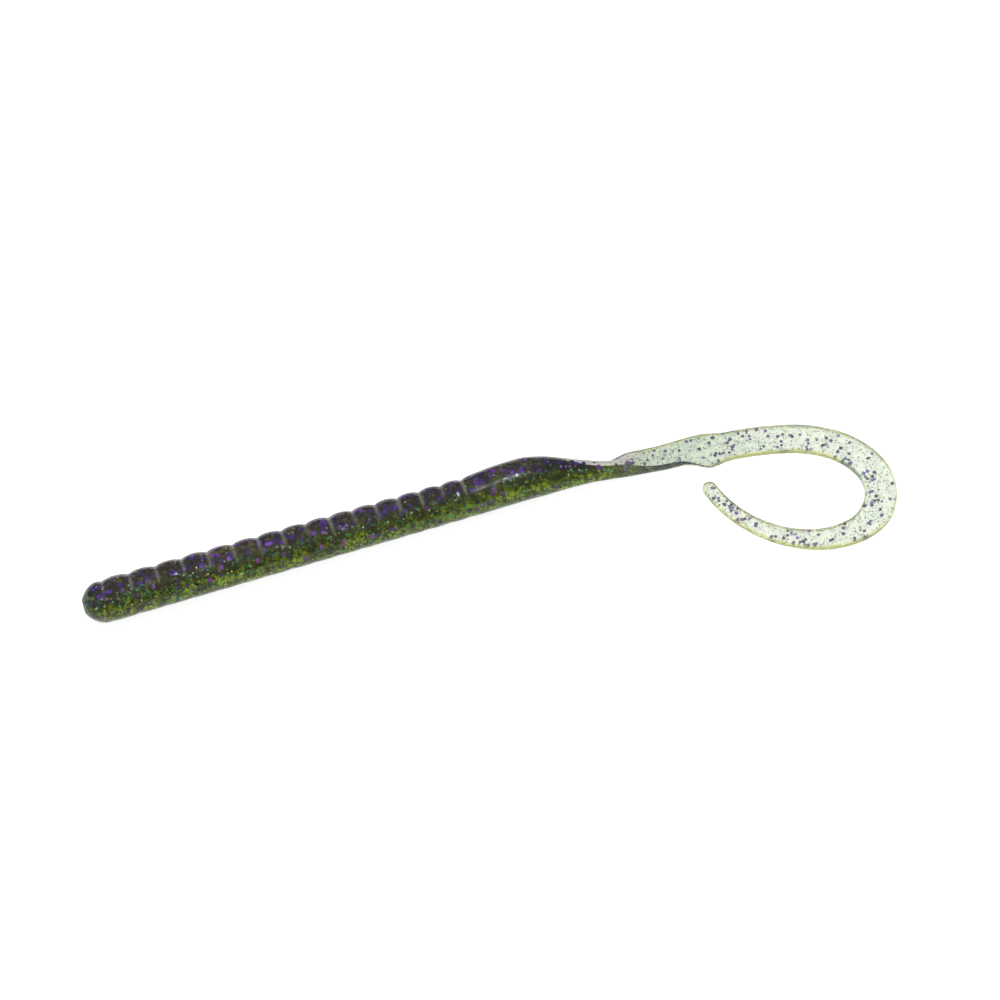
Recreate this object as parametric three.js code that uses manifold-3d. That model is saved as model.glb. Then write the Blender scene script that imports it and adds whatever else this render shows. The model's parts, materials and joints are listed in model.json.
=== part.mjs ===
// Soft plastic fishing worm, lying on its side: nose towards -X, belly and tail curl towards -Y.
// It is one flexible moulding, built here as the row of short segments between which it bends.
// Millimetres, +Z up, z = 0 at the surface that it lies on.
import * as THREE from 'three';
import { mergeVertices } from 'three/addons/utils/BufferGeometryUtils.js';
import Module from 'manifold-3d';

const { lerp, smoothstep, degToRad } = THREE.MathUtils;

// Lengths along the worm
const NOSE_LENGTH = 5;
const RIB_COUNT = 15;
const FIRST_RIB_PITCH = 5.8;
const LAST_RIB_PITCH = 4.6;
const COLLAR_COUNT = 5;
const COLLAR_PITCH = 6.5;
const NECK_LENGTH = 4.5;
const KEEL_COUNT = 2;
const KEEL_PITCH = 7;
const RIBBON_PITCH = 9.35;

// Round body: the radius falls a little along the ribs, then quickly to the neck and the keel
const FRONT_RADIUS = 4.65;
const REAR_RADIUS = 4.3;
const NECK_RADIUS = 2;
const KEEL_RADIUS = 1;
const GROOVE_DEPTH = 0.5;
const CREST_START = 0.28;
const NOSE_FACE_RADIUS = 1.4;
const NOSE_STEPS = 4;
const BODY_SIDES = 16;
const KEEL_SIDES = 10;
const NECK_TAPER_LENGTH = 20;
const KEEL_TAPER_LENGTH = 8;

// Where the belly edge starts to run out towards the curl, and where the neck sinks to the surface
const BELLY_TURN_X = 110;
const BELLY_SLOPE = 0.05;
const SINK_START_X = 100;
const SINK_END_X = 130;

// Flat web beside the keel, which widens as it leaves the neck, and the tail ribbon that it grows into
const WEB_START_Y = -0.8;
const WEB_EDGE_Y = 0.6;
const WEB_RISE_BEFORE = 2;
const WEB_RISE_AFTER = 4;
const WEB_THICKNESS = 1.3;
const RIBBON_THICKNESS = 1.6;
const RIBBON_WIDTH = 6.8;
const RIBBON_TIP_WIDTH = 3.1;
const SHOULDER_EXTRA_WIDTH = 1.8;
const SHOULDER_LENGTH = 6;
const TAPER_START = 50;
const RIBBON_START_Y = -3.9;
const RIBBON_SWEEPS_DEG = [9, 9, 22, 31, 45, 53, 31, 23, 19, 18];
const TIP_STEPS = 5;
const EDGE_STEP_DEG = 12;

// Slots at the bending lines: a gap on the line, opening each way by half the travel
const SLOT_GAP = 0.3;
const SLOT_REACH = 6;
const BODY_TRAVEL_DEG = 12;
const CURL_TRAVEL_DEG = 30;
const FLAP_TRAVEL_DEG = 15;
const SLOT_MARGIN_DEG = 0.75;

const MERGE_TOLERANCE = 1e-5;

const BODY_FINISH = { color: 0x5c6230, roughness: 0.25, metalness: 0 };
const TAIL_FINISH = { color: 0xdce6cc, roughness: 0.25, metalness: 0 };

const UP = new THREE.Vector3(0, 0, 1);
const APOTHEM = Math.cos(Math.PI / BODY_SIDES);

const wasm = await Module();
wasm.setup();

// Bending lines of the round body and keel, from the nose face to the start of the ribbon
function bodyStations() {
  const pitches = [NOSE_LENGTH];
  for (let i = 0; i < RIB_COUNT; i += 1) {
    pitches.push(lerp(FIRST_RIB_PITCH, LAST_RIB_PITCH, i / (RIB_COUNT - 1)));
  }
  pitches.push(...Array(COLLAR_COUNT).fill(COLLAR_PITCH), NECK_LENGTH);
  pitches.push(...Array(KEEL_COUNT).fill(KEEL_PITCH));
  const stations = [0];
  pitches.forEach((pitch, i) => stations.push(stations[i] + pitch));
  return stations;
}

const STATIONS = bodyStations();
const RIBS_END = STATIONS[1 + RIB_COUNT];
const NECK_START = STATIONS[1 + RIB_COUNT + COLLAR_COUNT];
const KEEL_END = STATIONS.at(-1);
const RIBBON_LENGTH = RIBBON_PITCH * RIBBON_SWEEPS_DEG.length;

function radiusAt(x) {
  const body = lerp(FRONT_RADIUS, REAR_RADIUS, Math.min(x / RIBS_END, 1));
  const neck = lerp(body, NECK_RADIUS, smoothstep(x, NECK_START - NECK_TAPER_LENGTH, NECK_START));
  return lerp(neck, KEEL_RADIUS, smoothstep(x, NECK_START, NECK_START + KEEL_TAPER_LENGTH));
}

function bellyAt(x) {
  return -FRONT_RADIUS - BELLY_SLOPE * Math.max(0, x - BELLY_TURN_X);
}

// Centre of the round section: its edge follows the belly line, and it lies on the surface
function sideAt(x) {
  return bellyAt(x) + radiusAt(x);
}

function webEdgeAt(x) {
  const rise = smoothstep(x, NECK_START - WEB_RISE_BEFORE, NECK_START + WEB_RISE_AFTER);
  return lerp(WEB_START_Y, WEB_EDGE_Y, rise);
}

function heightAt(x) {
  const hanging = lerp(REAR_RADIUS * APOTHEM, RIBBON_THICKNESS / 2, smoothstep(x, SINK_START_X, SINK_END_X));
  return Math.max(radiusAt(x) * APOTHEM, hanging);
}

// Point and heading on the ribbon's middle line, at a distance along it
function ribbonAt(distance) {
  const point = new THREE.Vector3(KEEL_END, RIBBON_START_Y, RIBBON_THICKNESS / 2);
  let heading = 0;
  let left = distance;
  for (const sweep of RIBBON_SWEEPS_DEG) {
    const step = Math.min(left, RIBBON_PITCH);
    const bend = -degToRad(sweep) / RIBBON_PITCH;
    const next = heading + bend * step;
    point.x += (Math.sin(next) - Math.sin(heading)) / bend;
    point.y -= (Math.cos(next) - Math.cos(heading)) / bend;
    heading = next;
    left -= step;
  }
  const along = new THREE.Vector3(Math.cos(heading), Math.sin(heading), 0);
  return { point, along, across: new THREE.Vector3().crossVectors(UP, along), heading };
}

function ribbonWidthAt(distance) {
  const shoulder = SHOULDER_EXTRA_WIDTH * (1 - smoothstep(distance, 0, SHOULDER_LENGTH));
  const left = 1 - Math.max(0, distance - TAPER_START) / (RIBBON_LENGTH - TAPER_START);
  return lerp(RIBBON_TIP_WIDTH, RIBBON_WIDTH, left * left) + shoulder;
}

function toSolid(geometry) {
  geometry.deleteAttribute('normal');
  geometry.deleteAttribute('uv');
  const merged = mergeVertices(geometry, MERGE_TOLERANCE);
  return new wasm.Manifold(new wasm.Mesh({
    numProp: 3,
    vertProperties: new Float32Array(merged.attributes.position.array),
    triVerts: new Uint32Array(merged.index.array),
  }));
}

function toMesh(name, solid, finish) {
  const { vertProperties, triVerts } = solid.getMesh();
  const geometry = new THREE.BufferGeometry();
  geometry.setAttribute('position', new THREE.BufferAttribute(vertProperties, 3));
  geometry.setIndex(new THREE.BufferAttribute(triVerts, 1));
  geometry.computeVertexNormals();
  const mesh = new THREE.Mesh(geometry, new THREE.MeshStandardMaterial(finish));
  mesh.name = name;
  return mesh;
}

// Moves each point of a geometry built along the X axis by an offset that depends on its x
function follow(geometry, side, height) {
  const position = geometry.attributes.position;
  for (let i = 0; i < position.count; i += 1) {
    const x = position.getX(i);
    position.setY(i, position.getY(i) + side(x));
    position.setZ(i, position.getZ(i) + height(x));
  }
  return geometry;
}

// Round solid along the body from a list of [x, radius], with a flat side down
function turned(profile, sides) {
  const first = profile[0];
  const last = profile.at(-1);
  const points = [[first[0], 0], ...profile, [last[0], 0]].map(([x, r]) => new THREE.Vector2(r, x));
  const geometry = new THREE.LatheGeometry(points, sides, Math.PI / sides);
  geometry.rotateZ(-Math.PI / 2);
  return toSolid(follow(geometry, sideAt, heightAt));
}

function flatPlate(points, thickness) {
  return new THREE.ExtrudeGeometry(new THREE.Shape(points), { depth: thickness, bevelEnabled: false });
}

// Slot with sides that part by half of a hinge's travel, cut through both segments at that hinge
function slotAt(hinge) {
  const spread = SLOT_GAP / 2 + SLOT_REACH * Math.tan(degToRad(hinge.travel / 2 + SLOT_MARGIN_DEG));
  const outline = [
    new THREE.Vector2(SLOT_GAP / 2, 0),
    new THREE.Vector2(spread, SLOT_REACH),
    new THREE.Vector2(-spread, SLOT_REACH),
    new THREE.Vector2(-SLOT_GAP / 2, 0),
    new THREE.Vector2(-spread, -SLOT_REACH),
    new THREE.Vector2(spread, -SLOT_REACH),
  ];
  const geometry = flatPlate(outline, 2 * SLOT_REACH).translate(0, 0, -SLOT_REACH);
  const sideways = new THREE.Vector3().crossVectors(hinge.axis, hinge.along);
  const place = new THREE.Matrix4().makeBasis(hinge.along, sideways, hinge.axis).setPosition(hinge.point);
  return toSolid(geometry.applyMatrix4(place));
}

// Body hinges turn in turn about Z (sideways) and Y (up and down), starting with Z behind the nose
function bodyHinge(number) {
  const x = STATIONS[number + 1];
  const onKeel = x > NECK_START;
  const side = onKeel ? (bellyAt(x) + webEdgeAt(x)) / 2 : sideAt(x);
  return {
    point: new THREE.Vector3(x, side, heightAt(x)),
    along: new THREE.Vector3(1, 0, 0),
    axis: number % 2 === 0 ? UP : new THREE.Vector3(0, 1, 0),
    travel: BODY_TRAVEL_DEG,
  };
}

// Ribbon hinges turn in turn about the line across it (flap) and the line through it (curl)
function ribbonHinge(number) {
  const { point, along, across } = ribbonAt(number * RIBBON_PITCH);
  const flaps = number % 2 === 0;
  return { point, along, axis: flaps ? across : UP, travel: flaps ? FLAP_TRAVEL_DEG : CURL_TRAVEL_DEG };
}

function hinges() {
  const body = Array.from({ length: STATIONS.length - 2 }, (_, number) => bodyHinge(number));
  const ribbon = RIBBON_SWEEPS_DEG.map((_, number) => ribbonHinge(number));
  return [...body, ...ribbon];
}

function nose() {
  const groove = radiusAt(NOSE_LENGTH) - GROOVE_DEPTH;
  const profile = [];
  for (let i = 0; i <= NOSE_STEPS; i += 1) {
    const turn = (i / NOSE_STEPS) * (Math.PI / 2);
    profile.push([NOSE_LENGTH * (1 - Math.cos(turn)), lerp(NOSE_FACE_RADIUS, groove, Math.sin(turn))]);
  }
  return turned(profile, BODY_SIDES);
}

function rib(start, end) {
  const crestStart = lerp(start, end, CREST_START);
  const crestEnd = lerp(end, start, CREST_START);
  return turned([
    [start, radiusAt(start) - GROOVE_DEPTH],
    [crestStart, radiusAt(crestStart)],
    [crestEnd, radiusAt(crestEnd)],
    [end, radiusAt(end) - GROOVE_DEPTH],
  ], BODY_SIDES);
}

function smoothRound(start, end, sides) {
  const middle = (start + end) / 2;
  return turned([start, middle, end].map((x) => [x, radiusAt(x)]), sides);
}

// Round keel rod along the belly edge, with the flat web that stands beside it
function keel(start, end) {
  const web = flatPlate([
    new THREE.Vector2(start, sideAt(start)),
    new THREE.Vector2(end, sideAt(end)),
    new THREE.Vector2(end, webEdgeAt(end)),
    new THREE.Vector2(start, webEdgeAt(start)),
  ], WEB_THICKNESS).translate(0, 0, -WEB_THICKNESS / 2);
  return smoothRound(start, end, KEEL_SIDES).add(toSolid(follow(web, () => 0, heightAt)));
}

// Both edges of the ribbon between two distances, with a half-round end at the tip
function ribbonOutline(start, end) {
  const last = end >= RIBBON_LENGTH;
  const straightEnd = last ? end - RIBBON_TIP_WIDTH / 2 : end;
  const swept = ribbonAt(start).heading - ribbonAt(straightEnd).heading;
  const steps = Math.max(1, Math.round(swept / degToRad(EDGE_STEP_DEG)));
  const left = [];
  const right = [];
  for (let i = 0; i <= steps; i += 1) {
    const distance = lerp(start, straightEnd, i / steps);
    const { point, across } = ribbonAt(distance);
    const half = ribbonWidthAt(distance) / 2;
    left.push(new THREE.Vector2(point.x + across.x * half, point.y + across.y * half));
    right.unshift(new THREE.Vector2(point.x - across.x * half, point.y - across.y * half));
  }
  return [...right, ...left, ...(last ? tipArc(straightEnd) : [])];
}

function tipArc(distance) {
  const { point, heading } = ribbonAt(distance);
  const radius = ribbonWidthAt(distance) / 2;
  const arc = [];
  for (let i = 1; i < TIP_STEPS; i += 1) {
    const turn = heading + Math.PI / 2 - (Math.PI * i) / TIP_STEPS;
    arc.push(new THREE.Vector2(point.x + radius * Math.cos(turn), point.y + radius * Math.sin(turn)));
  }
  return arc;
}

function ribbon(number) {
  const start = number * RIBBON_PITCH;
  return toSolid(flatPlate(ribbonOutline(start, start + RIBBON_PITCH), RIBBON_THICKNESS));
}

function numbered(name, number, count) {
  return `${name}_${String(number).padStart(String(count).length, '0')}`;
}

// Every segment from nose to tip, before the slots are cut: name, solid and finish
function segments() {
  const list = [['nose', nose(), BODY_FINISH]];
  const span = () => [STATIONS[list.length], STATIONS[list.length + 1]];
  for (let i = 1; i <= RIB_COUNT; i += 1) {
    list.push([numbered('rib', i, RIB_COUNT), rib(...span()), BODY_FINISH]);
  }
  for (let i = 1; i <= COLLAR_COUNT; i += 1) {
    list.push([numbered('collar', i, COLLAR_COUNT), smoothRound(...span(), BODY_SIDES), BODY_FINISH]);
  }
  list.push(['neck', keel(...span()), BODY_FINISH]);
  for (let i = 1; i <= KEEL_COUNT; i += 1) {
    list.push([numbered('keel', i, KEEL_COUNT), keel(...span()), TAIL_FINISH]);
  }
  RIBBON_SWEEPS_DEG.forEach((_, i, sweeps) => {
    list.push([numbered('ribbon', i + 1, sweeps.length), ribbon(i), TAIL_FINISH]);
  });
  return list;
}

function worm() {
  const slots = hinges().map(slotAt);
  const group = new THREE.Group();
  segments().forEach(([name, solid, finish], i) => {
    let cut = solid;
    for (const slot of slots.slice(Math.max(0, i - 1), i + 1)) {
      cut = cut.subtract(slot);
    }
    group.add(toMesh(name, cut, finish));
  });
  // The origin is under the middle of the bounding box, on the surface
  const middle = new THREE.Box3().setFromObject(group).getCenter(new THREE.Vector3());
  group.position.set(-middle.x, -middle.y, 0);
  return group;
}

export default worm();
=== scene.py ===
"""Looks of the soft plastic worm: clear glossy plastic over a mottled core, with hexagonal flakes in between.

The worm is one moulding, so every surface here is cut from one master surface. It is cut at the middle of
each CAD segment, so each piece spans one hinge, and neighbours share the rows where they are cut.
"""

import json
import math
import random

import bpy
import numpy as np
from mathutils import Matrix, Vector

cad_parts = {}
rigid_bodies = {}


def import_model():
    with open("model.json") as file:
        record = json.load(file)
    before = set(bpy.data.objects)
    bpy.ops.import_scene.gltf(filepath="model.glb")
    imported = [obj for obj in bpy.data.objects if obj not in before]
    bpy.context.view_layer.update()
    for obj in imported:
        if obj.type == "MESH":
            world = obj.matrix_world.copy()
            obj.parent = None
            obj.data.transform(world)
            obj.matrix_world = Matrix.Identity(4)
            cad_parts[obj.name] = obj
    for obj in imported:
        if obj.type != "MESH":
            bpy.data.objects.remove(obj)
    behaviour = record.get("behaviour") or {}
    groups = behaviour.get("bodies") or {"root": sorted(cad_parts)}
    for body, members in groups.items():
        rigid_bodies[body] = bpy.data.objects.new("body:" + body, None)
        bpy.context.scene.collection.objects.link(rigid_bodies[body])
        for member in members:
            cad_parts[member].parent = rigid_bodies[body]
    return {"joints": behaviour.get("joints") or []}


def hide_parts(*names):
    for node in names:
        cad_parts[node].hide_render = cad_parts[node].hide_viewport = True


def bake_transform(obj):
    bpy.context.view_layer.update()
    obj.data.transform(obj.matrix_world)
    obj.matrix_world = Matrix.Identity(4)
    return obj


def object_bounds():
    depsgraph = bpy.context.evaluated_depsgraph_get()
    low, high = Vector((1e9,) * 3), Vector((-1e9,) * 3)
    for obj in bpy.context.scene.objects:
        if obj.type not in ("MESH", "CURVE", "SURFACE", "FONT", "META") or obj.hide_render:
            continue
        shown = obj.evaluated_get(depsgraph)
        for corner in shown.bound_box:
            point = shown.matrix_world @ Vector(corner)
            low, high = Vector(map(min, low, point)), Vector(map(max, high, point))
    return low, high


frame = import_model()
CAD_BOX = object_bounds()

MM = 0.001
JOINTS = frame["joints"]
BODIES = [JOINTS[0]["parent"]] + [joint["child"] for joint in JOINTS]
HINGES = [Vector(joint["pos_m"]) / MM for joint in JOINTS]

# Driving dimensions in millimetres, as in the CAD part
NOSE_FACE_RADIUS = 1.4
FRONT_RADIUS = 4.65
REAR_RADIUS = 4.3
NECK_RADIUS = 2.0
KEEL_RADIUS = 1.0
COLLAR_BULGE = 0.25
BELLY_TURN = 110
BELLY_SLOPE = 0.05
WEB_START = 3.1
WEB_EDGE = 4.5
WEB_HALF_THICKNESS = 0.6
RIBBON_PITCH = 9.35
RIBBON_WIDTH = 6.8
RIBBON_TIP_WIDTH = 3.1
RIBBON_HALF_THICKNESS = 0.8
SHOULDER_EXTRA_WIDTH = 1.8
SHOULDER_LENGTH = 6
TAPER_START = 50
SWEEPS = [math.radians(a) for a in (9, 9, 22, 31, 45, 53, 31, 23, 19, 18)]

# Fine shape
NOSE_FACE_TURN = math.radians(25)
GROOVE_DEPTH = 0.55
GROOVE_BELLY_LOSS = 0.85
GROOVE_FADE_DEGREES = (75, 150)
LAST_GROOVE_REACH = 2
RIB_ROUNDNESS = 2.2
EDGE_ROUNDING = 0.45
EDGE_FULLNESS = 2.6
WEB_CORNER_POWER = 24
ROD_FILLET_POWER = 5
RIM_WIDTH = 0.5
CREASE_WIDTH = 0.55
CORE_DEPTH = 0.65
CORE_GROOVE_SHARE = 0.7
THREAD_DEPTH = 0.15
THREAD_SHARE_START = 0.6
THREAD_SHARE_END = 0.36
THREAD_RUNOUT = 0.9

# Mesh density
ROWS_PER_SEGMENT = 16
AROUND = 72
CORE_AROUND = 40
ANGLES = {n: np.arange(n) * 2 * math.pi / n for n in (AROUND, CORE_AROUND)}
NOSE_ROWS = 12
CORE_NOSE_ROWS = 8
TIP_ROW_TURNS = np.radians([20, 35, 48, 60, 70, 78, 84, 88])

# Distances along the worm from the nose face, where its segments meet
NOSE_X = CAD_BOX[0][0] / MM
RIBBON_START = HINGES[23]
KEEL_END = RIBBON_START.x - NOSE_X
WORM_LENGTH = KEEL_END + RIBBON_PITCH * len(SWEEPS)
BENDS = [h.x - NOSE_X for h in HINGES[:23]] + [KEEL_END + RIBBON_PITCH * i for i in range(len(SWEEPS))]
ENDS = [0.0] + BENDS + [WORM_LENGTH]
MIDDLES = [(a + b) / 2 for a, b in zip(ENDS, ENDS[1:])]
TIP_RADIUS = RIBBON_TIP_WIDTH / 2
TIP_START = WORM_LENGTH - TIP_RADIUS
RIBS_END = BENDS[15]
NECK_START = BENDS[20]
CORE_END = KEEL_END + 1.5
FLAT_START = NECK_START - 6
BELLY = HINGES[0].y - RIBBON_START.y - FRONT_RADIUS

# Stretches of the worm over which its form changes, each as its start and its end
COLLAR_RISE = (RIBS_END, RIBS_END + 9)
COLLAR_FALL = (RIBS_END + 16, RIBS_END + 28)
NECK_TAPER = (NECK_START - 20, NECK_START)
KEEL_TAPER = (NECK_START, NECK_START + 8)
SINKING = (100, 130)
FLAT_RISE = (FLAT_START, NECK_START - 1)
WEB_RISE = (NECK_START - 2, NECK_START + 4)
LOW_EDGE_TURN = (KEEL_END - 5, KEEL_END + 1.5)
HIGH_EDGE_TURN = (KEEL_END - 4, KEEL_END + 3)
FLAT_THICKENING = (KEEL_END - 3, KEEL_END + 3)
ROD_RUNOUT = (KEEL_END - 2, KEEL_END + 4)
CORE_THINNING = (NECK_START - 17, NECK_START + 3)
CORE_SINKING = (NECK_START - 20, NECK_START - 2)
CORE_RUNOUT = (KEEL_END - 7, CORE_END + 1)


def lerp(a, b, t):
    return a + (b - a) * t


def smooth(x, low, high):
    t = np.clip((x - low) / (high - low), 0, 1)
    return t * t * (3 - 2 * t)


def radius_at(s):
    """Radius of the round section, without its grooves."""
    body = lerp(FRONT_RADIUS, REAR_RADIUS, min(s / RIBS_END, 1))
    body += COLLAR_BULGE * smooth(s, *COLLAR_RISE) * (1 - smooth(s, *COLLAR_FALL))
    neck = lerp(body, NECK_RADIUS, smooth(s, *NECK_TAPER))
    return lerp(neck, KEEL_RADIUS, smooth(s, *KEEL_TAPER))


def round_centre_at(s):
    """Sideways place of the round section, measured from the line on which the ribbon starts."""
    return BELLY - BELLY_SLOPE * max(0, s - BELLY_TURN) + radius_at(s)


def height_at(s):
    """Height of the section's middle above the surface that the worm lies on."""
    hanging = lerp(REAR_RADIUS, RIBBON_HALF_THICKNESS, smooth(s, *SINKING))
    rod_share = 1 - smooth(s, *ROD_RUNOUT)
    return max(lerp(RIBBON_HALF_THICKNESS, radius_at(s), rod_share), hanging)


def line_at(s):
    """Point and heading of the line that the sections are measured from: straight, then along the ribbon."""
    if s <= KEEL_END:
        return NOSE_X + s, RIBBON_START.y, 0.0
    x, y, heading, left = RIBBON_START.x, RIBBON_START.y, 0.0, s - KEEL_END
    for sweep in SWEEPS:
        step = min(left, RIBBON_PITCH)
        bend = -sweep / RIBBON_PITCH
        turned = heading + bend * step
        x += (math.sin(turned) - math.sin(heading)) / bend
        y -= (math.cos(turned) - math.cos(heading)) / bend
        heading = turned
        left -= step
    return x, y, heading


def ribbon_width_at(s):
    distance = s - KEEL_END
    shoulder = SHOULDER_EXTRA_WIDTH * (1 - smooth(distance, 0, SHOULDER_LENGTH))
    left = 1 - max(0, distance - TAPER_START) / (RIBBON_PITCH * len(SWEEPS) - TAPER_START)
    return lerp(RIBBON_TIP_WIDTH, RIBBON_WIDTH, left * left) + shoulder


def place(s, across, up):
    """Worm coordinates (along, across, up from the section's middle) to the CAD frame, in metres."""
    x, y, heading = line_at(s)
    across = np.asarray(across)
    points = np.empty(across.shape + (3,))
    points[..., 0] = x - across * math.sin(heading)
    points[..., 1] = y + across * math.cos(heading)
    points[..., 2] = height_at(s) + np.asarray(up)
    return points * MM


# Master surface: one closed section for each row

def groove_fade(angle):
    """Share of the groove depth: all of it round the back, and little on the belly, where they run out."""
    turn = np.degrees(np.abs(np.arctan2(np.sin(angle), np.cos(angle))))
    return 1 - GROOVE_BELLY_LOSS * smooth(turn, *GROOVE_FADE_DEGREES)


def groove_at(s, angle):
    """How far the surface is cut in between two ribs."""
    if s >= RIBS_END + LAST_GROOVE_REACH or s <= ENDS[1] / 2:
        return 0 * angle
    number = int(np.searchsorted(ENDS, s, side="right")) - 1
    t = (s - ENDS[number]) / (ENDS[number + 1] - ENDS[number])
    if s > RIBS_END:
        t = (s - RIBS_END) / (2 * LAST_GROOVE_REACH)
    return GROOVE_DEPTH * abs(2 * t - 1) ** RIB_ROUNDNESS * groove_fade(angle)


def crease_at(s, angle):
    """Nearness to the sharp bottom of a groove, along which the skin is coloured paler and less clear."""
    gap = min(abs(s - bend) for bend in BENDS[:16])
    return max(0, 1 - gap / CREASE_WIDTH) * smooth(groove_fade(angle), 0.3, 0.9)


def nose_radius_at(s):
    """Dome that meets the flat nose face at an angle."""
    turn = math.acos(math.cos(NOSE_FACE_TURN) * (1 - s / ENDS[1]))
    share = (math.sin(turn) - math.sin(NOSE_FACE_TURN)) / (1 - math.sin(NOSE_FACE_TURN))
    return lerp(NOSE_FACE_RADIUS, radius_at(ENDS[1]), share)


def body_radius_at(s):
    return nose_radius_at(s) if s < ENDS[1] else radius_at(s)


def edge_profile(distance):
    """Share of the full thickness at a distance from a moulded edge."""
    t = np.clip(distance / EDGE_ROUNDING, 0, 1)
    return (1 - (1 - t) ** EDGE_FULLNESS) ** (1 / EDGE_FULLNESS)


def flat_thickness_at(s):
    """Half thickness of the web, and then of the ribbon."""
    return lerp(WEB_HALF_THICKNESS, RIBBON_HALF_THICKNESS, smooth(s, *FLAT_THICKENING))


def section_limits(s):
    """Lowest and highest place across of the section at s, behind the round body."""
    centre, radius = round_centre_at(s), radius_at(s)
    low, high = centre - radius, centre + radius
    web = lerp(WEB_START, WEB_EDGE, smooth(s, *WEB_RISE))
    high = (max(high, 0.1) ** WEB_CORNER_POWER + web ** WEB_CORNER_POWER) ** (1 / WEB_CORNER_POWER)
    half = ribbon_width_at(max(s, KEEL_END)) / 2
    low = lerp(low, -half, smooth(s, *LOW_EDGE_TURN))
    high = lerp(high, half, smooth(s, *HIGH_EDGE_TURN))
    if s > TIP_START:
        half = math.sqrt(max(1e-4, TIP_RADIUS ** 2 - (s - TIP_START) ** 2))
        low, high = -half, half
    return low, high


def outer_section(s, shrink=1.0):
    """Closed section of the surface at s: places across and up, then nearness to an edge and to a crease."""
    angle = ANGLES[AROUND]
    if s <= FLAT_START:
        radius = shrink * (body_radius_at(s) - groove_at(s, angle))
        across = round_centre_at(s) + radius * np.cos(angle)
        return across, radius * np.sin(angle), 0 * angle, crease_at(s, angle)
    low, high = section_limits(s)
    across = (low + high) / 2 + (high - low) / 2 * np.cos(angle)
    rod_share = 1 - smooth(s, *ROD_RUNOUT)
    distance = np.minimum(across - low, high - across)
    rim_distance = np.minimum(across - low + rod_share * RIM_WIDTH, high - across)
    if s > TIP_START:
        distance = TIP_RADIUS - np.hypot(s - TIP_START, across)
        rim_distance = distance
    rim = 1 - np.clip(rim_distance / RIM_WIDTH, 0, 1)
    flat = flat_thickness_at(s) * edge_profile(distance) * smooth(s, *FLAT_RISE)
    radius = radius_at(s)
    rod = np.sqrt(np.clip(radius ** 2 - (across - low - radius) ** 2, 0, None)) * rod_share
    surface = (flat ** ROD_FILLET_POWER + rod ** ROD_FILLET_POWER) ** (1 / ROD_FILLET_POWER)
    half_of_section = np.sign(np.round(np.sin(angle), 9))
    return across, surface * half_of_section, rim, 0 * angle


def core_section(s, shrink=1.0):
    """Closed section of the coloured core. It keeps to the belly side and thins to a thread in the keel."""
    angle = ANGLES[CORE_AROUND]
    radius = body_radius_at(s)
    thread = lerp(THREAD_SHARE_START, THREAD_SHARE_END, smooth(s, NECK_START, KEEL_END))
    inner = lerp(radius - CORE_DEPTH, thread * radius, smooth(s, *CORE_THINNING))
    inner = inner * (1 - THREAD_RUNOUT * smooth(s, *CORE_RUNOUT))
    belly_gap = lerp(CORE_DEPTH, THREAD_DEPTH, smooth(s, *CORE_SINKING))
    low = section_limits(s)[0] if s > FLAT_START else round_centre_at(s) - radius
    centre = low + belly_gap + inner
    inner = shrink * (inner - CORE_GROOVE_SHARE * groove_at(s, angle))
    return centre + inner * np.cos(angle), inner * np.sin(angle), 0 * angle, 0 * angle


# Rows of the master surface, each as (distance, shrink), and the pieces cut from it

def rows_between(start, end):
    """Rows from start to end, closer together near every groove."""
    rows = []
    for low, high in zip(ENDS, ENDS[1:]):
        shares = 0.5 - 0.5 * np.cos(np.linspace(0, math.pi, ROWS_PER_SEGMENT + 1))
        rows.extend((s, 1.0) for s in lerp(low, high, shares)[:-1] if start <= s < end)
    return rows


def grid(rows, section, around):
    """Vertices, normals and worm coordinates of a run of sections."""
    coordinates, rims, creases = [], [], []
    for s, shrink in rows:
        across, up, rim, crease = section(s, shrink)
        coordinates.append(np.stack([np.full(around, s), across, up], axis=1))
        rims.append(rim)
        creases.append(crease)
    points = np.array([place(c[0, 0], c[:, 1], c[:, 2]) for c in coordinates])
    along = np.gradient(points, axis=0)
    turning = np.roll(points, -1, axis=1) - np.roll(points, 1, axis=1)
    normals = np.cross(turning, along)
    normals /= np.maximum(np.linalg.norm(normals, axis=2, keepdims=True), 1e-12)
    return points, normals, np.array(coordinates), np.array(rims), np.array(creases)


def strip_object(name, data, first, last, caps):
    """Mesh of rows first..last of a grid, with the normals of the whole worm so that no seam shows."""
    points, normals, coordinates, rims, creases = (part[first:last + 1] for part in data)
    rows, around = points.shape[:2]
    faces = []
    for i in range(rows - 1):
        for j in range(around):
            k = (j + 1) % around
            faces.append((i * around + j, i * around + k, (i + 1) * around + k, (i + 1) * around + j))
    if caps[0]:
        faces.append(tuple(range(around - 1, -1, -1)))
    if caps[1]:
        faces.append(tuple((rows - 1) * around + j for j in range(around)))
    mesh = bpy.data.meshes.new(name)
    mesh.from_pydata(points.reshape(-1, 3).tolist(), [], faces)
    mesh.polygons.foreach_set("use_smooth", [True] * len(faces))
    mesh.normals_split_custom_set_from_vertices(normals.reshape(-1, 3).tolist())
    add_vectors(mesh, "worm", coordinates.reshape(-1, 3))
    add_values(mesh, "rim", rims)
    add_values(mesh, "crease", creases)
    return add_object(name, mesh)


def add_vectors(mesh, name, values):
    mesh.attributes.new(name, "FLOAT_VECTOR", "POINT").data.foreach_set("vector", np.ravel(values))


def add_values(mesh, name, values):
    mesh.attributes.new(name, "FLOAT", "POINT").data.foreach_set("value", np.ravel(values))


def add_object(name, mesh):
    obj = bpy.data.objects.new(name, mesh)
    bpy.context.scene.collection.objects.link(obj)
    return obj


def section_middle(s):
    low, high = section_limits(s) if s > FLAT_START else (round_centre_at(s),) * 2
    return Vector(place(s, (low + high) / 2, 0.0))


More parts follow.
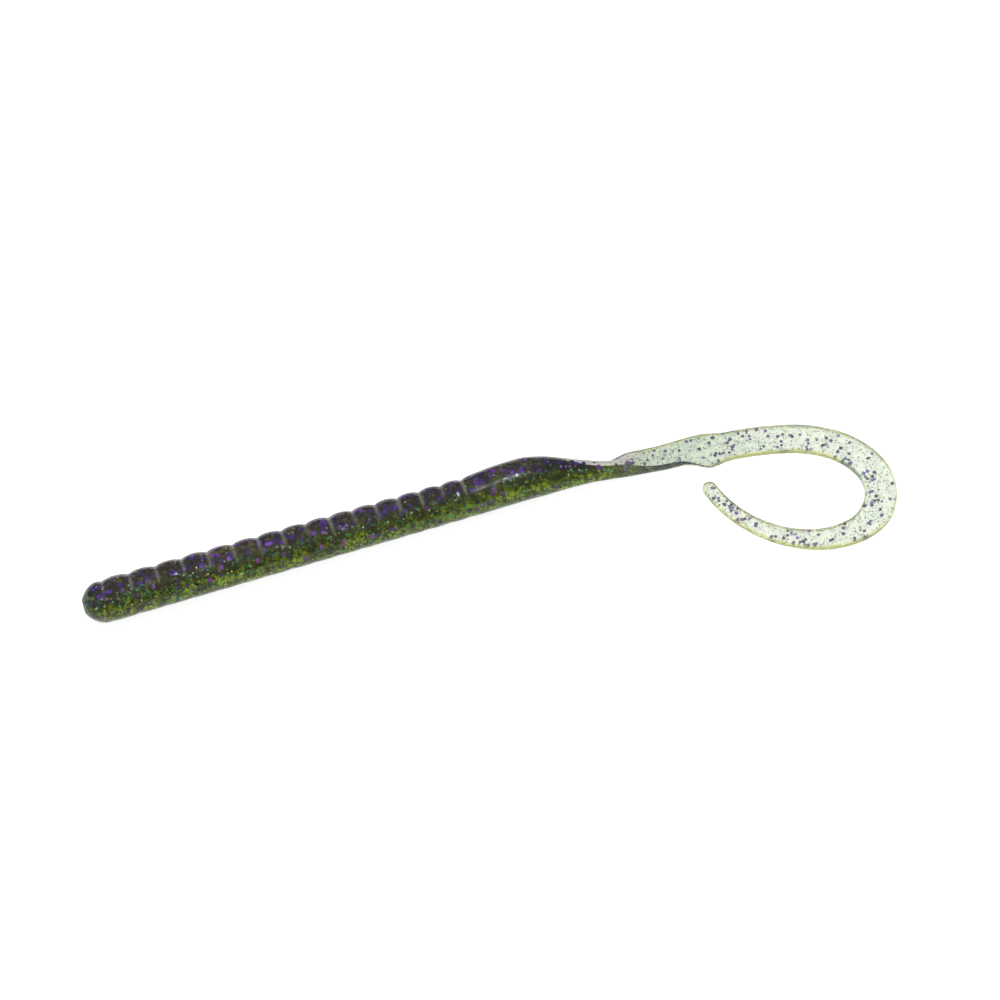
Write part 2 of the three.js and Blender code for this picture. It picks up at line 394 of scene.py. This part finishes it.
def bend_points(number, data, first, last):
    """Ends of the stretch in which piece `number` bends, clear of both of its cut sections."""
    start, end = section_middle(MIDDLES[number]), section_middle(MIDDLES[number + 1])
    chord = (end - start).normalized()
    points = data[0]
    first_reach = max(0.0, ((points[first] - np.array(start)) @ np.array(chord)).max())
    last_reach = max(0.0, ((np.array(end) - points[last]) @ np.array(chord)).max())
    return start + chord * first_reach, end - chord * last_reach


def attach(obj):
    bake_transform(obj)


# Materials

SIDE_SHIFT = 0.2


class Nodes:
    """Short helpers for one material's node tree."""

    def __init__(self, name):
        self.material = bpy.data.materials.new(name)
        self.material.use_nodes = True
        self.tree = self.material.node_tree
        self.shader = self.tree.nodes["Principled BSDF"]
        self.worm = self.attribute("worm").outputs["Vector"]

    def add(self, kind, **settings):
        node = self.tree.nodes.new(kind)
        for key, value in settings.items():
            setattr(node, key, value)
        return node

    def link(self, source, target):
        self.tree.links.new(source, target)

    def attribute(self, name):
        return self.add("ShaderNodeAttribute", attribute_name=name)

    def fixed(self, **values):
        for key, value in values.items():
            self.shader.inputs[key.replace("_", " ")].default_value = value

    def noise(self, scale, detail=3.0, roughness=0.5):
        """Noise in worm coordinates; scale is in features for each millimetre."""
        node = self.add("ShaderNodeTexNoise")
        node.inputs["Scale"].default_value = scale
        node.inputs["Detail"].default_value = detail
        node.inputs["Roughness"].default_value = roughness
        self.link(self.worm, node.inputs["Vector"])
        return node.outputs["Fac"]

    def math(self, operation, a, b=0.0, c=0.0):
        node = self.add("ShaderNodeMath", operation=operation)
        for socket, value in zip(node.inputs, (a, b, c)):
            if isinstance(value, (int, float)):
                socket.default_value = value
            else:
                self.link(value, socket)
        return node.outputs[0]

    def between(self, value, low, high):
        node = self.add("ShaderNodeMapRange", interpolation_type="SMOOTHSTEP")
        self.link(value, node.inputs["Value"])
        node.inputs["From Min"].default_value = low
        node.inputs["From Max"].default_value = high
        return node.outputs["Result"]

    def ramp(self, value, stops):
        node = self.add("ShaderNodeValToRGB")
        elements = node.color_ramp.elements
        while len(elements) < len(stops):
            elements.new(0.5)
        for element, (position, colour) in zip(elements, stops):
            element.position = position
            element.color = (*colour, 1)
        self.link(value, node.inputs["Fac"])
        return node.outputs["Color"]

    def mix(self, share, a, b):
        node = self.add("ShaderNodeMix", data_type="RGBA")
        self.link(share, node.inputs["Factor"])
        for name, value in (("A", a), ("B", b)):
            socket = next(s for s in node.inputs if s.name == name and s.type == "RGBA")
            if isinstance(value, tuple):
                socket.default_value = (*value, 1)
            else:
                self.link(value, socket)
        return next(s for s in node.outputs if s.type == "RGBA")

    def multiply(self, a, b):
        node = self.add("ShaderNodeMix", data_type="RGBA", blend_type="MULTIPLY")
        node.inputs["Factor"].default_value = 1
        sockets = [s for s in node.inputs if s.type == "RGBA"]
        self.link(a, sockets[0])
        self.link(b, sockets[1])
        return next(s for s in node.outputs if s.type == "RGBA")

    def bump(self, height, strength, distance):
        node = self.add("ShaderNodeBump")
        node.inputs["Strength"].default_value = strength
        node.inputs["Distance"].default_value = distance
        self.link(height, node.inputs["Height"])
        self.link(node.outputs["Normal"], self.shader.inputs["Normal"])

    def side(self):
        """1 on the back edge and -1 on the belly edge of the round body."""
        split = self.add("ShaderNodeSeparateXYZ")
        self.link(self.worm, split.inputs[0])
        centre = -RIBBON_START.y + HINGES[0].y - SIDE_SHIFT
        return self.math("DIVIDE", self.math("SUBTRACT", split.outputs["Y"], centre), REAR_RADIUS)

    def along(self):
        split = self.add("ShaderNodeSeparateXYZ")
        self.link(self.worm, split.inputs[0])
        return split.outputs["X"]


def core_material():
    """Mottled coloured plastic: smoky brown on the back, dark olive, then yellow green on the belly."""
    n = Nodes("worm_core")
    wander = n.math("MULTIPLY", n.math("SUBTRACT", n.noise(0.35, 2), 0.5), 0.35)
    share = n.math("MULTIPLY_ADD", n.math("ADD", n.side(), wander), 0.5, 0.5)
    layers = n.ramp(share, [
        (0.00, (0.155, 0.285, 0.020)),
        (0.06, (0.155, 0.240, 0.014)),
        (0.13, (0.088, 0.125, 0.009)),
        (0.22, (0.025, 0.039, 0.0035)),
        (0.38, (0.027, 0.037, 0.0045)),
        (0.52, (0.054, 0.052, 0.028)),
        (0.75, (0.085, 0.076, 0.056)),
    ])
    # Blue-green tint on the core near the nose face: painted reflection, standing in for the teal glints that
    # the flat nose face gives back.
    layers = n.mix(n.between(n.along(), 1.0, 3.5), (0.10, 0.17, 0.15), layers)
    layers = n.mix(n.between(n.along(), NECK_START - 4, NECK_START + 8), layers, (0.040, 0.058, 0.036))
    patches = n.mix(n.between(n.noise(0.4, 2), 0.4, 0.6), (0.42, 0.42, 0.55), (1.60, 1.50, 1.10))
    blotches = n.mix(n.between(n.noise(1.2, 4, 0.75), 0.4, 0.6), (0.15, 0.19, 0.35), (2.05, 1.95, 1.60))
    n.link(n.multiply(n.multiply(layers, patches), blotches), n.shader.inputs["Base Color"])
    n.link(n.math("MULTIPLY_ADD", n.noise(2.0), 0.3, 0.35), n.shader.inputs["Roughness"])
    n.bump(n.noise(1.6, 4), 0.5, 0.15 * MM)
    n.fixed(IOR=1.1)
    return n.material


def skin_material():
    """Clear glossy plastic, tinted smoky on the back and olive on the belly, pale and milky in the tail."""
    n = Nodes("worm_skin")
    tail = n.between(n.along(), NECK_START - 8, NECK_START + 8)
    laminate = n.between(n.side(), -0.75, -0.2)
    body = n.mix(laminate, (0.86, 0.90, 0.34), (0.78, 0.76, 0.68))
    # Paler, less clear colour along the groove bottoms, fading towards the belly.
    crease = n.math("MULTIPLY", n.attribute("crease").outputs["Fac"], n.between(n.noise(0.25, 1), 0.2, 0.6))
    body = n.mix(crease, body, (0.66, 0.68, 0.50))
    rim = n.attribute("rim").outputs["Fac"]
    edge = n.mix(n.between(n.noise(0.12, 1), 0.55, 0.68), (0.74, 0.78, 0.26), (0.18, 0.30, 0.14))
    clouds = n.between(n.noise(0.8, 4), 0.35, 0.65)
    near_keel = n.mix(clouds, (0.52, 0.62, 0.54), (0.72, 0.79, 0.62))
    far = n.mix(clouds, (0.77, 0.85, 0.75), (0.93, 0.95, 0.84))
    pale = n.mix(n.between(n.along(), NECK_START + 5, KEEL_END + 25), near_keel, far)
    smoky = n.between(n.along(), NECK_START - 20, NECK_START - 8)
    smoky = n.math("MULTIPLY", smoky, n.between(n.side(), -0.7, -0.3))
    smoky = n.math("MULTIPLY", smoky, n.between(n.along(), NECK_START + 9, NECK_START - 1))
    whole = n.mix(tail, body, n.mix(rim, pale, edge))
    n.link(n.mix(smoky, whole, (0.50, 0.49, 0.49)), n.shader.inputs["Base Color"])
    n.link(n.math("MULTIPLY_ADD", n.noise(0.8), 0.05, 0.02), n.shader.inputs["Roughness"])
    clear = n.math("MULTIPLY_ADD", tail, -0.12, 0.98)
    clear = n.math("SUBTRACT", clear, n.math("MULTIPLY", crease, 0.25))
    clear = n.math("SUBTRACT", clear, n.math("MULTIPLY", rim, 0.28))
    n.link(clear, n.shader.inputs["Transmission Weight"])
    n.bump(n.noise(0.9, 3), 0.8, 0.2 * MM)
    n.fixed(IOR=1.34)
    return n.material


def flake_material():
    """Thin metallised film: each flake has its own colour, and fine wear changes its shine."""
    n = Nodes("worm_flake")
    tint = n.attribute("tint").outputs["Color"]
    worn = n.between(n.noise(2.0), 0.35, 0.65)
    n.link(n.mix(n.math("MULTIPLY", worn, 0.45), tint, (0.02, 0.015, 0.04)), n.shader.inputs["Base Color"])
    n.link(n.math("MULTIPLY_ADD", worn, 0.2, 0.2), n.shader.inputs["Roughness"])
    tail = n.between(n.along(), NECK_START - 5, NECK_START + 5)
    n.link(n.math("MULTIPLY_ADD", tail, -0.45, 0.6), n.shader.inputs["Metallic"])
    n.bump(n.noise(5.0), 0.2, 0.02 * MM)
    return n.material


def floor_material():
    n = Nodes("studio_floor")
    n.fixed(Base_Color=(0.35, 0.35, 0.35, 1), Roughness=0.9)
    n.fixed(Emission_Color=(1, 1, 1, 1), Emission_Strength=0.9)
    return n.material


# Flakes

PURPLE = [(0.09, 0.02, 0.42), (0.15, 0.03, 0.62), (0.03, 0.01, 0.12), (0.06, 0.015, 0.28), (0.34, 0.09, 0.95)]
VIOLET = [(0.14, 0.07, 0.46), (0.28, 0.14, 0.72), (0.44, 0.24, 0.85), (0.06, 0.05, 0.18)]
TEAL = [(0.05, 0.42, 0.36), (0.10, 0.34, 0.08), (0.05, 0.32, 0.42), (0.48, 0.52, 0.06), (0.14, 0.60, 0.55)]
DARK = [(0.02, 0.015, 0.02), (0.03, 0.05, 0.02)]
SPECKS = [(0.54, 0.66, 0.52), (0.60, 0.66, 0.48), (0.40, 0.45, 0.60), (0.20, 0.26, 0.22)]
SPARK = [(0.95, 0.75, 0.95), (0.60, 0.95, 0.95), (0.95, 0.90, 0.75)]

FLAKE_THICKNESS = 0.05
FLAKE_SKIN = 0.3
SMOKY_LAYER_COSINE = -0.35
CLEAR_NECK_START = NECK_START - 14
CLEAR_NECK_COSINE = 0.4


class Flakes:
    """Hexagonal prisms of film, collected by the piece that they lie in."""

    def __init__(self, seed):
        self.random = random.Random(seed)
        self.pieces = {}

    def add(self, s, across, up, normal, width, tint, tilt):
        x, y, heading = line_at(s)
        centre = Vector(place(s, across, up))
        along = Vector((math.cos(heading), math.sin(heading), 0))
        sideways = Vector((-math.sin(heading), math.cos(heading), 0))
        facing = (sideways * normal[0] + Vector((0, 0, normal[1]))).normalized()
        turned = Matrix.Rotation(self.random.uniform(-tilt, tilt), 3, along)
        turned = Matrix.Rotation(self.random.uniform(-tilt, tilt), 3, facing.cross(along)) @ turned
        facing = turned @ facing
        first = Matrix.Rotation(self.random.uniform(0, math.pi), 3, facing) @ (turned @ along)
        second = facing.cross(first)
        corners = []
        for level in (-0.5, 0.5):
            for corner in range(6):
                turn = corner * math.pi / 3
                offset = first * (math.cos(turn) * width / 2) + second * (math.sin(turn) * width / 2)
                corners.append(centre + (offset + facing * (level * FLAKE_THICKNESS)) * MM)
        number = int(np.searchsorted(MIDDLES, s, side="right")) - 1
        number = min(max(number, 0), len(JOINTS) - 1)
        self.pieces.setdefault(number, []).append((corners, (s, across, up), tint))

    def build(self, number, name):
        points, faces, tints, places = [], [], [], []
        for corners, place_in_worm, tint in self.pieces[number]:
            base = len(points)
            points.extend(corners)
            tints.extend([(*tint, 1)] * 12)
            places.extend([place_in_worm] * 12)
            faces.append(tuple(base + i for i in range(5, -1, -1)))
            faces.append(tuple(base + 6 + i for i in range(6)))
            for i in range(6):
                j = (i + 1) % 6
                faces.append((base + i, base + j, base + 6 + j, base + 6 + i))
        mesh = bpy.data.meshes.new(name)
        mesh.from_pydata([tuple(p) for p in points], [], faces)
        mesh.attributes.new("tint", "FLOAT_COLOR", "POINT").data.foreach_set("color", np.ravel(tints))
        add_vectors(mesh, "worm", places)
        return add_object(name, mesh)


def scatter_in_body(flakes, count, size, tints, back_share, depths, tilt):
    """Flakes under the round skin: `back_share` of them lie in the smoky back layer."""
    pick = flakes.random
    placed = 0
    while placed < count:
        s = pick.uniform(0.6, NECK_START + 3)
        radius = body_radius_at(s)
        angle = pick.uniform(-math.pi, math.pi)
        normal = (math.cos(angle), math.sin(angle))
        share = back_share if normal[0] > SMOKY_LAYER_COSINE else 1 - back_share
        if pick.random() > radius / FRONT_RADIUS or pick.random() > share:
            continue
        if s > CLEAR_NECK_START and normal[0] > CLEAR_NECK_COSINE:
            continue
        depth = pick.uniform(*depths)
        reach = radius - float(groove_at(s, np.array([angle]))[0]) - depth
        if reach < FLAKE_SKIN:
            continue
        across = round_centre_at(s) + reach * normal[0]
        width = size * pick.uniform(0.85, 1.1)
        flakes.add(s, across, reach * normal[1], normal, width, pick.choice(tints), tilt)
        placed += 1


def scatter_in_tail(flakes, count, size, tints, tilt, tip_bias):
    """Flakes inside the flat web and ribbon, more of them towards the tip."""
    pick = flakes.random
    placed = 0
    while placed < count:
        s = pick.uniform(NECK_START + 1, WORM_LENGTH - 0.6)
        share = (s - NECK_START) / (WORM_LENGTH - NECK_START)
        if pick.random() > lerp(1 - tip_bias, 1, share ** 2):
            continue
        low, high = section_limits(s)
        if pick.random() > (high - low) / RIBBON_WIDTH:
            continue
        margin = size / 2
        across = pick.uniform(low + margin, high - margin)
        up = pick.uniform(-1, 1) * (flat_thickness_at(s) - FLAKE_SKIN)
        width = size * pick.uniform(0.8, 1.1)
        flakes.add(s, across, up, (0, 1), width, pick.choice(tints), tilt)
        placed += 1


def make_flakes():
    flakes = Flakes(7)
    scatter_in_body(flakes, 950, 1.15, PURPLE, 0.84, (0.26, 0.50), math.radians(15))
    scatter_in_body(flakes, 1200, 0.50, TEAL, 0.10, (0.14, 0.50), math.radians(25))
    scatter_in_body(flakes, 700, 0.65, DARK, 0.45, (0.20, 0.55), math.radians(20))
    scatter_in_body(flakes, 160, 0.42, SPARK, 0.4, (0.12, 0.25), math.radians(20))
    scatter_in_tail(flakes, 150, 0.85, VIOLET, math.radians(12), 0.6)
    scatter_in_tail(flakes, 1300, 0.30, SPECKS, math.radians(20), 0.0)
    return flakes


def nearest_row(rows, s):
    return int(np.argmin([abs(row[0] - s) for row in rows]))


def build_worm():
    skin, core, flake = skin_material(), core_material(), flake_material()
    rows = [(0.0, 0.02), (0.0, 0.5), (0.0, 0.9), (0.02, 1.0)]
    rows += [(s, 1.0) for s in np.linspace(0.12, MIDDLES[0], NOSE_ROWS)[:-1]]
    rows += rows_between(MIDDLES[0], TIP_START) + [(TIP_START, 1.0)]
    rows += [(TIP_START + TIP_RADIUS * math.sin(turn), 1.0) for turn in TIP_ROW_TURNS]
    data = grid(rows, outer_section, AROUND)
    cuts = [nearest_row(rows, middle) for middle in MIDDLES]
    bends = [bend_points(k, data, cuts[k], cuts[k + 1]) for k in range(len(JOINTS))]

    last = len(JOINTS) - 1
    for k in range(len(JOINTS)):
        first_row = 0 if k == 0 else cuts[k]
        last_row = len(rows) - 1 if k == last else cuts[k + 1]
        obj = strip_object(f"skin_{BODIES[k + 1]}", data, first_row, last_row, (k == 0, k == last))
        obj.data.materials.append(skin)
        attach(obj)
        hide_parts(BODIES[k + 1], *([BODIES[0]] if k == 0 else []))

    core_rows = [(CORE_DEPTH, 0.02), (CORE_DEPTH, 0.6), (CORE_DEPTH + 0.1, 0.95)]
    core_rows += [(s, 1.0) for s in np.linspace(CORE_DEPTH + 0.3, MIDDLES[0], CORE_NOSE_ROWS)[:-1]]
    core_rows += rows_between(MIDDLES[0], CORE_END) + [(CORE_END, 0.6), (CORE_END + 0.2, 0.05)]
    core_data = grid(core_rows, core_section, CORE_AROUND)
    for k in range(len(JOINTS)):
        if MIDDLES[k] >= CORE_END:
            break
        first_row = 0 if k == 0 else nearest_row(core_rows, MIDDLES[k])
        last_row = nearest_row(core_rows, MIDDLES[k + 1])
        obj = strip_object(f"core_{BODIES[k + 1]}", core_data, first_row, last_row, (True, True))
        obj.data.materials.append(core)
        attach(obj)

    flakes = make_flakes()
    for k in sorted(flakes.pieces):
        obj = flakes.build(k, f"flakes_{BODIES[k + 1]}")
        obj.data.materials.append(flake)
        attach(obj)


# Studio, in metres

FLOOR_HALF_SIZE = 2.5
FLOOR_DROP = 0.05 * MM
WORLD_AT_HORIZON = 0.2
WORLD_OVERHEAD = 0.6
WORLD_TOP_Z = 0.9
LAMP_SIZE = 0.02
LAMP_WATTS = 4.5
LAMP_PLACE = (0.1, -0.115, 1.0)

LENS_MM = 150
SENSOR_MM = 36
FRAME_WIDTH = 0.2079
AIM_RIGHT_OF_NOSE = 0.0866
AIM_ABOVE_NOSE = 0.02225


def build_studio():
    mesh = bpy.data.meshes.new("floor")
    half = FLOOR_HALF_SIZE
    corners = [(-half, -half, 0), (half, -half, 0), (half, half, 0), (-half, half, 0)]
    mesh.from_pydata(corners, [], [(0, 1, 2, 3)])
    floor = add_object("floor", mesh)
    floor.location.z = -FLOOR_DROP
    floor.data.materials.append(floor_material())

    world = bpy.data.worlds.new("studio")
    world.use_nodes = True
    bpy.context.scene.world = world
    nodes, links = world.node_tree.nodes, world.node_tree.links
    background = nodes["Background"]
    coordinates = nodes.new("ShaderNodeTexCoord")
    split = nodes.new("ShaderNodeSeparateXYZ")
    ramp = nodes.new("ShaderNodeMapRange")
    ramp.interpolation_type = "SMOOTHSTEP"
    ramp.inputs["From Min"].default_value = 0.0
    ramp.inputs["From Max"].default_value = WORLD_TOP_Z
    ramp.inputs["To Min"].default_value = WORLD_AT_HORIZON
    ramp.inputs["To Max"].default_value = WORLD_OVERHEAD
    links.new(coordinates.outputs["Generated"], split.inputs[0])
    links.new(split.outputs["Z"], ramp.inputs["Value"])
    links.new(ramp.outputs["Result"], background.inputs["Color"])

    lamp = bpy.data.lights.new("overhead", "AREA")
    lamp.size = LAMP_SIZE
    lamp.energy = LAMP_WATTS
    light = bpy.data.objects.new("overhead", lamp)
    bpy.context.scene.collection.objects.link(light)
    light.location = LAMP_PLACE
    light.rotation_euler = Vector(light.location).to_track_quat("Z", "Y").to_euler()
    bpy.context.scene.view_settings.view_transform = "Standard"


def build_camera():
    """Long lens, over the belly side and a little towards the nose, rolled so that the body rises."""
    azimuth, elevation, roll = math.radians(-10), math.radians(55), math.radians(8.1)
    camera_data = bpy.data.cameras.new("camera")
    camera_data.lens = LENS_MM
    camera_data.sensor_width = SENSOR_MM
    camera_data.clip_start = 0.05
    camera = bpy.data.objects.new("camera", camera_data)
    bpy.context.scene.collection.objects.link(camera)
    away = Vector((math.sin(azimuth) * math.cos(elevation), -math.cos(azimuth) * math.cos(elevation),
                   math.sin(elevation)))
    level = Vector((0, 0, 1)).cross(away).normalized()
    upright = away.cross(level)
    right = level * math.cos(roll) - upright * math.sin(roll)
    up = away.cross(right)
    distance = FRAME_WIDTH * LENS_MM / SENSOR_MM
    nose = Vector((CAD_BOX[0][0], HINGES[0].y * MM, FRONT_RADIUS * MM))
    aim = nose + right * AIM_RIGHT_OF_NOSE + up * AIM_ABOVE_NOSE
    turn = Matrix((right, up, away)).transposed().to_4x4()
    camera.matrix_world = Matrix.Translation(aim + away * distance) @ turn
    bpy.context.scene.camera = camera


build_worm()
build_studio()
build_camera()
